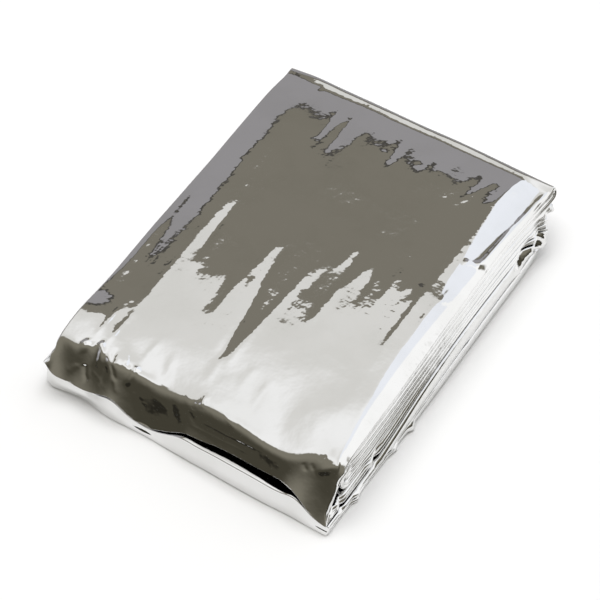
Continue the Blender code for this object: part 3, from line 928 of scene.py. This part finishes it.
@dataclass
class FoilBlanket:
    """The whole blanket as one closed mesh on the ribbon's stations and columns.

    Attributes:
        ribbon, pack: the folded strip, and what it is pressed into.
        leaf_bulge: how far the leaves' own folds stand out past an edge.
        fold_bulge: how far the low bundle's one fold does.
    """

    ribbon: Ribbon = field(default_factory=Ribbon)
    pack: Pack = field(default_factory=Pack)
    leaf_bulge: float = 0.34
    fold_bulge: float = 0.5

    def face_points(self, line: Array, shares: Array) -> Array:
        """Points across one face of the sheet.

        Args:
            line: rows of a place along Y and a level.
            shares: places across it, as shares of its width.

        Returns:
            Points with a row for each station and a column for each share.
        """
        y, level = np.repeat(line, len(shares), axis=0).T
        left, right = self.pack.edges(y, level)
        x = left + np.tile(shares, len(line)) * (right - left)
        return self.pack.press(x, y, level).reshape(len(line), len(shares), 3)

    def edge_points(self, line: Array, first: Array, second: Array, side: int) -> Array:
        """Points round one edge, from one face to the other: the leaves' own folds, as a row of lobes,
        which stand out by the root of the sine of the way across, or one such lobe on the low bundle.

        Args:
            line: the stations' middle line.
            first, second: the edge points of the two faces.
            side: 1 for the right edge, -1 for the left one.

        Returns:
            Points with a row for each station and a column for each place across the edge.
        """
        q = np.array(self.ribbon.lobe)
        points = first[:, None] + (second - first)[:, None] * q[None, :, None]
        leaves = np.sqrt(np.abs(np.sin(2 * np.pi * q))) * self.leaf_bulge
        whole = np.sqrt(np.abs(np.sin(np.pi * q))) * self.fold_bulge
        in_low = 1 - ramp(line[:, 1], Ribbon.LOW[1], Ribbon.UPPER[0])
        out = leaves[None, :] + in_low[:, None] * (whole - leaves)[None, :]
        points[:, :, 0] += side * out
        return points

    def rings(self) -> tuple:
        """Points of the whole ribbon.

        Returns:
            The fine flag of each station, and its points on the first face, with the fine columns and
            with the coarse ones, round the right edge, on the second face and round the left edge.
        """
        rows = self.ribbon.stations()
        fine = rows[:, 2] > 0.5
        first, second = self.ribbon.faces(rows)
        coarse_shares, fine_shares = self.ribbon.coarse_shares(), self.ribbon.fine_shares()
        face_b = self.face_points(second, coarse_shares[::-1])
        face_fine = self.face_points(first[fine], fine_shares)
        face_coarse = self.face_points(first, coarse_shares)
        right = self.edge_points(rows, face_coarse[:, -1], face_b[:, 0], 1)
        left = self.edge_points(rows, face_b[:, -1], face_coarse[:, 0], -1)
        return fine, face_fine, face_coarse, right, face_b, left

    def mesh_data(self) -> tuple:
        """The closed mesh: quads from station to station, many-sided faces where the columns get finer,
        and a cap on each end.

        Returns:
            Points in metres and a list of faces.
        """
        fine, face_fine, face_coarse, right, face_b, left = self.rings()
        count, step = len(fine), self.ribbon.finer
        n_coarse = face_coarse.shape[1]
        rest = np.concatenate([right, face_b, left], axis=1)
        n_rest = rest.shape[1]
        points, faces = [], []
        a_rows, rest_rows, start = [], [], 0
        fine_at = np.cumsum(fine) - 1
        for i in range(count):
            row = face_fine[fine_at[i]] if fine[i] else face_coarse[i]
            points += [self.pack.crumple_side(row), self.pack.crumple_side(rest[i])]
            a_rows.append(start + np.arange(len(row)))
            rest_rows.append(start + len(row) + np.arange(n_rest))
            start += len(row) + n_rest
        for i in range(count - 1):
            a, b = a_rows[i], a_rows[i + 1]
            if len(a) == len(b):
                faces += np.column_stack([a[:-1], a[1:], b[1:], b[:-1]]).tolist()
            elif len(a) > len(b):
                split = [a[:-1][k::step] for k in range(step)] + [a[step::step]]
                faces += np.column_stack([*split, b[1:], b[:-1]]).tolist()
            else:
                split = [b[1:][step - 1 - k :: step] for k in range(step)] + [b[:-1:step]]
                faces += np.column_stack([a[:-1], a[1:], *split]).tolist()
            loop_a = np.concatenate([a[-1:], rest_rows[i], a[:1]])
            loop_b = np.concatenate([b[-1:], rest_rows[i + 1], b[:1]])
            faces += np.column_stack([loop_a[:-1], loop_a[1:], loop_b[1:], loop_b[:-1]]).tolist()
        lobes = len(self.ribbon.lobe)
        for i, flip in ((0, True), (count - 1, False)):
            a = a_rows[i][:: step if fine[i] else 1]
            other = rest_rows[i][lobes : lobes + n_coarse][::-1]
            cap = np.column_stack([a[:-1], a[1:], other[1:], other[:-1]]).tolist()
            cap.append([a[-1], *rest_rows[i][:lobes], other[-1]])
            cap.append([other[0], *rest_rows[i][lobes + n_coarse :], a[0]])
            faces += [face[::-1] for face in cap] if flip else cap
        return np.vstack(points) * MM, faces

    def build(self) -> bpy.types.Object:
        """Makes the blanket.

        Returns:
            Its object.
        """
        points, faces = self.mesh_data()
        mesh = bpy.data.meshes.new("blanket_sheet")
        mesh.from_pydata(points.tolist(), [], faces)
        mesh.validate()
        mesh.update()
        blanket = bpy.data.objects.new("blanket_sheet", mesh)
        bpy.context.scene.collection.objects.link(blanket)
        mesh.shade_smooth()
        return blanket


# --------------------------------------------------------------------------- shader maths


class Value:
    """A node socket that carries one number, with the operators that build Math nodes."""

    def __init__(self, graph: "Graph", socket: bpy.types.NodeSocket) -> None:
        """Keeps the graph and its socket."""
        self.graph, self.socket = graph, socket

    def _with(self, operation: str, *others: "float | Value") -> "Value":
        """A Math node of the operation on this value and the others."""
        return self.graph.math(operation, self, *others)

    def __add__(self, other: "float | Value") -> "Value":
        """Sum."""
        return self._with("ADD", other)

    __radd__ = __add__

    def __mul__(self, other: "float | Value") -> "Value":
        """Product."""
        return self._with("MULTIPLY", other)

    __rmul__ = __mul__

    def __sub__(self, other: "float | Value") -> "Value":
        """Difference."""
        return self._with("SUBTRACT", other)

    def __rsub__(self, other: "float | Value") -> "Value":
        """Reflected difference."""
        return self.graph.math("SUBTRACT", other, self)


class Graph:
    """A node tree that is filled through one method."""

    def __init__(self, tree: bpy.types.NodeTree) -> None:
        """Empties the tree."""
        self.tree = tree
        tree.nodes.clear()

    def node(self, kind: str, settings: dict | None = None, inputs: dict | None = None) -> bpy.types.Node:
        """Adds a node.

        Args:
            kind: its type.
            settings: its properties, which are set first.
            inputs: a number, colour, Value or socket for each input, by name or index.

        Returns:
            The node.
        """
        made = self.tree.nodes.new(kind)
        for name, value in (settings or {}).items():
            setattr(made, name, value)
        for name, value in (inputs or {}).items():
            if isinstance(value, Value):
                value = value.socket
            if isinstance(value, bpy.types.NodeSocket):
                self.tree.links.new(value, made.inputs[name])
            else:
                made.inputs[name].default_value = value
        return made

    def noise(self, place: bpy.types.NodeSocket, scale: float, detail: float, roughness: float) -> Value:
        """A noise over a place, by how many waves it has in a metre, its detail and its roughness."""
        inputs = {"Vector": place, "Scale": scale, "Detail": detail, "Roughness": roughness}
        return Value(self, self.node("ShaderNodeTexNoise", {"noise_dimensions": "3D"}, inputs).outputs["Fac"])

    def math(self, operation: str, *values: "float | Value") -> Value:
        """A Math node's result."""
        made = self.node("ShaderNodeMath", {"operation": operation}, dict(enumerate(values)))
        return Value(self, made.outputs[0])

    def step(self, value: Value, start: float, end: float) -> Value:
        """A smooth step.

        Args:
            value: what it depends on.
            start: where it is 0.
            end: where it gets to 1, above the start or below it.

        Returns:
            The step's result.
        """
        low, high = min(start, end), max(start, end)
        limits = (0.0, 1.0) if start < end else (1.0, 0.0)
        made = self.node(
            "ShaderNodeMapRange",
            {"interpolation_type": "SMOOTHSTEP"},
            {0: value, 1: low, 2: high, 3: limits[0], 4: limits[1]},
        )
        return Value(self, made.outputs[0])

    def blend(self, share: "float | Value", first: object, second: object) -> bpy.types.NodeSocket:
        """A mix of two colours.

        Args:
            share: how much of the second it has.
            first, second: a colour or a socket each.

        Returns:
            The mix's socket.
        """
        inputs = {"Factor": share, 6: first, 7: second}
        return self.node("ShaderNodeMix", {"data_type": "RGBA"}, inputs).outputs[2]


def display(red: int, green: int, blue: int, gain: float) -> tuple:
    """Works out a colour by how it shows on a screen.

    Args:
        red, green, blue: what a screen shows, from 0 to 255.
        gain: how much brighter the colour is than that.

    Returns:
        The linear colour, with an alpha of 1.
    """
    share = np.array([red, green, blue]) / 255
    linear = np.where(share <= 0.04045, share / 12.92, ((share + 0.055) / 1.055) ** 2.4)
    return (*(linear * gain).tolist(), 1.0)


# --------------------------------------------------------------------------- finishes


@dataclass(frozen=True)
class FilmFinish:
    """Bare metallised film: mirror bright, with a faint satin and the finest crinkles in its bump.

    Attributes:
        colour, colour_haze: the film's colour, and its colour where it is hazy.
        roughness, haze_roughness: its roughness, and what the haze adds to it.
        haze_scale, haze_detail, haze_grain: the haze's noise.
        haze_from, haze_to: values of that noise between which the haze sets in.
        crinkle_scale, crinkle_height: the finest crinkles, in waves per metre and in metres.
        wave_scale, wave_height: the wider waves under them.
        crease_detail, crease_grain: detail and roughness of both those noises.
    """

    colour: tuple = (0.79, 0.79, 0.785, 1.0)
    colour_haze: tuple = (0.755, 0.755, 0.745, 1.0)
    roughness: float = 0.035
    haze_roughness: float = 0.03
    haze_scale: float = 55.0
    haze_detail: float = 4.0
    haze_grain: float = 0.55
    haze_from: float = 0.4
    haze_to: float = 0.68
    crinkle_scale: float = 300.0
    crinkle_height: float = 0.00006
    wave_scale: float = 110.0
    wave_height: float = 0.00009
    crease_detail: float = 2.0
    crease_grain: float = 0.5

    def material(self) -> bpy.types.Material:
        """Builds the finish.

        Returns:
            Its material.
        """
        made = bpy.data.materials.new("metallised_film")
        made.use_nodes = True
        g = Graph(made.node_tree)
        place = g.node("ShaderNodeTexCoord").outputs["Object"]
        haze = g.noise(place, self.haze_scale, self.haze_detail, self.haze_grain)
        haze_share = g.step(haze, self.haze_from, self.haze_to)
        crinkles = g.noise(place, self.crinkle_scale, self.crease_detail, self.crease_grain)
        waves = g.noise(place, self.wave_scale, self.crease_detail, self.crease_grain)
        height = crinkles * self.crinkle_height + waves * self.wave_height
        bump = g.node("ShaderNodeBump", {}, {"Strength": 1.0, "Distance": 1.0, "Height": height})
        shader = g.node(
            "ShaderNodeBsdfPrincipled",
            {},
            {
                "Metallic": 1.0,
                "Base Color": g.blend(haze_share, self.colour, self.colour_haze),
                "Roughness": self.roughness + haze_share * self.haze_roughness,
                "Normal": bump.outputs["Normal"],
            },
        )
        g.node("ShaderNodeOutputMaterial", {}, {"Surface": shader.outputs[0]})
        return made


@dataclass(frozen=True)
class FloorFinish:
    """A plain pale floor."""

    colour: tuple = (0.9, 0.9, 0.9, 1.0)

    def material(self) -> bpy.types.Material:
        """Builds the finish.

        Returns:
            Its material.
        """
        made = bpy.data.materials.new("pale_floor")
        made.use_nodes = True
        g = Graph(made.node_tree)
        shader = g.node("ShaderNodeBsdfDiffuse", {}, {"Color": self.colour})
        g.node("ShaderNodeOutputMaterial", {}, {"Surface": shader.outputs[0]})
        return made


# --------------------------------------------------------------------------- the studio


# how much brighter the room is than its colours as a screen shows them
ROOM_GAIN = 1.18


def aimed(name: str, data: object, place: Vector, back: Vector) -> bpy.types.Object:
    """Adds a lamp or a camera to the scene.

    Args:
        name: its name.
        data: the lamp or the camera.
        place: where it is.
        back: the direction that it faces away from.

    Returns:
        Its object.
    """
    made = bpy.data.objects.new(name, data)
    made.location = place
    made.rotation_mode = "QUATERNION"
    made.rotation_quaternion = back.to_track_quat("Z", "Y")
    bpy.context.scene.collection.objects.link(made)
    return made


@dataclass
class Studio:
    """A white room with a dark side behind the camera, as soft light and as what the film mirrors.

    Heights are degrees above the horizon and turns are degrees from straight ahead, rising to the right. A
    pair of them is where something sets in and where it is there in full.

    Attributes:
        wall, wall_left, wall_foot: the wall, what it turns to on the left, and its foot.
        rail, rail_low, rail_high: the dark rail over it, with its lower and upper edge.
        panel, panel_high: the panel over the rail, with its upper edge.
        band_blur: half the height over which each of those edges is soft.
        ceiling_edge, ceiling, ceiling_middle: the ceiling, from the panel to straight overhead.
        right_near, right_wall: the bright right side, and what it turns to further round.
        right_turns, right_back_turns: that side's near end and its far one.
        dark_foot, dark_top, dark_base: the dark side low down, high up and right over the floor.
        dark_turn, dark_turns, dark_heights: its middle, how far round it reaches and how high.
        outside: what the camera itself sees past the floor.
        floor_half: half the floor's side, in metres.
        lamp_power, lamp_size, lamp_place: the lamp overhead, in watts and metres.
    """

    wall: tuple = display(148, 146, 148, ROOM_GAIN)
    wall_left: tuple = display(203, 202, 208, ROOM_GAIN)
    wall_left_turns: tuple = (-85.0, -110.0)
    wall_foot: tuple = display(70, 68, 66, ROOM_GAIN)
    wall_foot_heights: tuple = (5.0, 3.5)
    rail: tuple = display(72, 70, 66, ROOM_GAIN)
    rail_low: float = 39.3
    rail_high: float = 40.8
    panel: tuple = display(122, 118, 108, ROOM_GAIN)
    panel_high: float = 48.5
    band_blur: float = 0.3
    ceiling_edge: tuple = display(218, 217, 214, ROOM_GAIN)
    ceiling: tuple = display(244, 244, 244, ROOM_GAIN)
    ceiling_heights: tuple = (53.0, 66.0)
    ceiling_middle: tuple = display(226, 225, 223, ROOM_GAIN)
    ceiling_middle_heights: tuple = (68.0, 82.0)
    right_near: tuple = display(240, 243, 250, ROOM_GAIN)
    right_wall: tuple = display(255, 255, 255, ROOM_GAIN)
    right_wall_turns: tuple = (15.0, 30.0)
    right_turns: tuple = (-16.0, -13.0)
    right_back_turns: tuple = (150.0, 120.0)
    dark_foot: tuple = display(66, 63, 53, ROOM_GAIN)
    dark_top: tuple = display(124, 120, 108, ROOM_GAIN)
    dark_top_heights: tuple = (12.0, 46.0)
    dark_base: tuple = display(40, 38, 32, ROOM_GAIN)
    dark_base_heights: tuple = (7.0, 4.0)
    dark_turn: float = 147.6
    dark_turns: tuple = (95.0, 85.0)
    dark_heights: tuple = (64.0, 60.0)
    outside: tuple = (1.0, 1.0, 1.0, 1.0)
    floor_half: float = 6.0
    lamp_power: float = 17.0
    lamp_size: float = 1.6
    lamp_place: tuple = (-0.25, 0.2, 1.5)

    def world(self) -> None:
        """Makes the room, as colours by direction: bands by height, the right side, then the dark side."""
        made = bpy.data.worlds.new("studio_room")
        made.use_nodes = True
        g = Graph(made.node_tree)
        place = g.node("ShaderNodeTexCoord").outputs["Generated"]
        split = g.node("ShaderNodeSeparateXYZ", {}, {0: place})
        x, y, z = (Value(g, socket) for socket in split.outputs)
        degrees = 180 / np.pi
        height = g.math("ARCSINE", z) * degrees
        turn = g.math("ARCTAN2", x, y) * degrees
        wall = g.blend(g.step(turn, *self.wall_left_turns), self.wall, self.wall_left)
        colour = g.blend(g.step(height, *self.wall_foot_heights), wall, self.wall_foot)
        for level, next_colour in (
            (self.rail_low, self.rail),
            (self.rail_high, self.panel),
            (self.panel_high, self.ceiling_edge),
        ):
            share = g.step(height, level - self.band_blur, level + self.band_blur)
            colour = g.blend(share, colour, next_colour)
        colour = g.blend(g.step(height, *self.ceiling_heights), colour, self.ceiling)
        colour = g.blend(g.step(height, *self.ceiling_middle_heights), colour, self.ceiling_middle)
        right = g.blend(g.step(turn, *self.right_wall_turns), self.right_near, self.right_wall)
        on_right = g.step(turn, *self.right_turns) * g.step(g.math("ABSOLUTE", turn), *self.right_back_turns)
        colour = g.blend(on_right, colour, right)
        dark = g.blend(g.step(height, *self.dark_top_heights), self.dark_foot, self.dark_top)
        dark = g.blend(g.step(height, *self.dark_base_heights), dark, self.dark_base)
        off = g.math("ABSOLUTE", g.math("WRAP", turn - self.dark_turn, 180.0, -180.0))
        behind = g.step(off, *self.dark_turns) * g.step(height, *self.dark_heights)
        colour = g.blend(behind, colour, dark)
        seen = Value(g, g.node("ShaderNodeLightPath").outputs["Is Camera Ray"])
        colour = g.blend(seen, colour, self.outside)
        background = g.node("ShaderNodeBackground", {}, {"Color": colour, "Strength": 1.0})
        g.node("ShaderNodeOutputWorld", {}, {"Surface": background.outputs[0]})
        bpy.context.scene.world = made

    def floor(self) -> bpy.types.Object:
        """Lays a wide flat floor under the pack.

        Returns:
            Its object.
        """
        half = self.floor_half
        corners = [(-half, -half, 0), (half, -half, 0), (half, half, 0), (-half, half, 0)]
        mesh = bpy.data.meshes.new("floor")
        mesh.from_pydata(corners, [], [(0, 1, 2, 3)])
        mesh.materials.append(FloorFinish().material())
        made = bpy.data.objects.new("floor", mesh)
        bpy.context.scene.collection.objects.link(made)
        return made

    def lamp(self) -> bpy.types.Object:
        """Hangs a soft lamp overhead, which lights the floor and doesn't show in the film.

        Returns:
            Its object.
        """
        data = bpy.data.lights.new("overhead", "AREA")
        data.shape, data.size, data.energy = "DISK", self.lamp_size, self.lamp_power
        place = Vector(self.lamp_place)
        made = aimed("overhead", data, place, place)
        made.visible_glossy = False
        return made


@dataclass
class Camera:
    """The camera, by its turn round the pack, its height and its distance. A fit in another program gave
    its place.

    Attributes:
        turn, height: its direction from the aim, in degrees.
        distance, aim, clip: in metres.
        lens, sensor: in millimetres.
    """

    turn: float = 32.465
    height: float = 51.219
    distance: float = 0.9997
    aim: tuple = (-0.002543, 0.001312, 0.0)
    lens: float = 216.0
    sensor: float = 36.0
    clip: tuple = (0.01, 50.0)

    def build(self) -> bpy.types.Object:
        """Makes it the scene's camera.

        Returns:
            Its object.
        """
        turn, height = np.radians([self.turn, self.height])
        back = Vector((np.sin(turn) * np.cos(height), -np.cos(turn) * np.cos(height), np.sin(height)))
        data = bpy.data.cameras.new("camera")
        data.lens, data.sensor_width = self.lens, self.sensor
        data.clip_start, data.clip_end = self.clip
        made = aimed("camera", data, Vector(self.aim) + back * self.distance, back)
        bpy.context.scene.camera = made
        return made


def main() -> None:
    """Builds the studio and the blanket, and logs how many faces the blanket has."""
    logging.basicConfig(level=logging.INFO, format="%(message)s")
    scene = bpy.context.scene
    scene.view_settings.view_transform = "Standard"
    scene.view_settings.look = "None"
    studio = Studio()
    studio.world()
    studio.floor()
    studio.lamp()
    Camera().build()
    blanket = FoilBlanket().build()
    blanket.data.materials.append(FilmFinish().material())
    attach(blanket, "root")
    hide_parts("foil_blanket")
    log.info("blanket_sheet: %d faces", len(blanket.data.polygons))


if __name__ == "__main__":
    main()
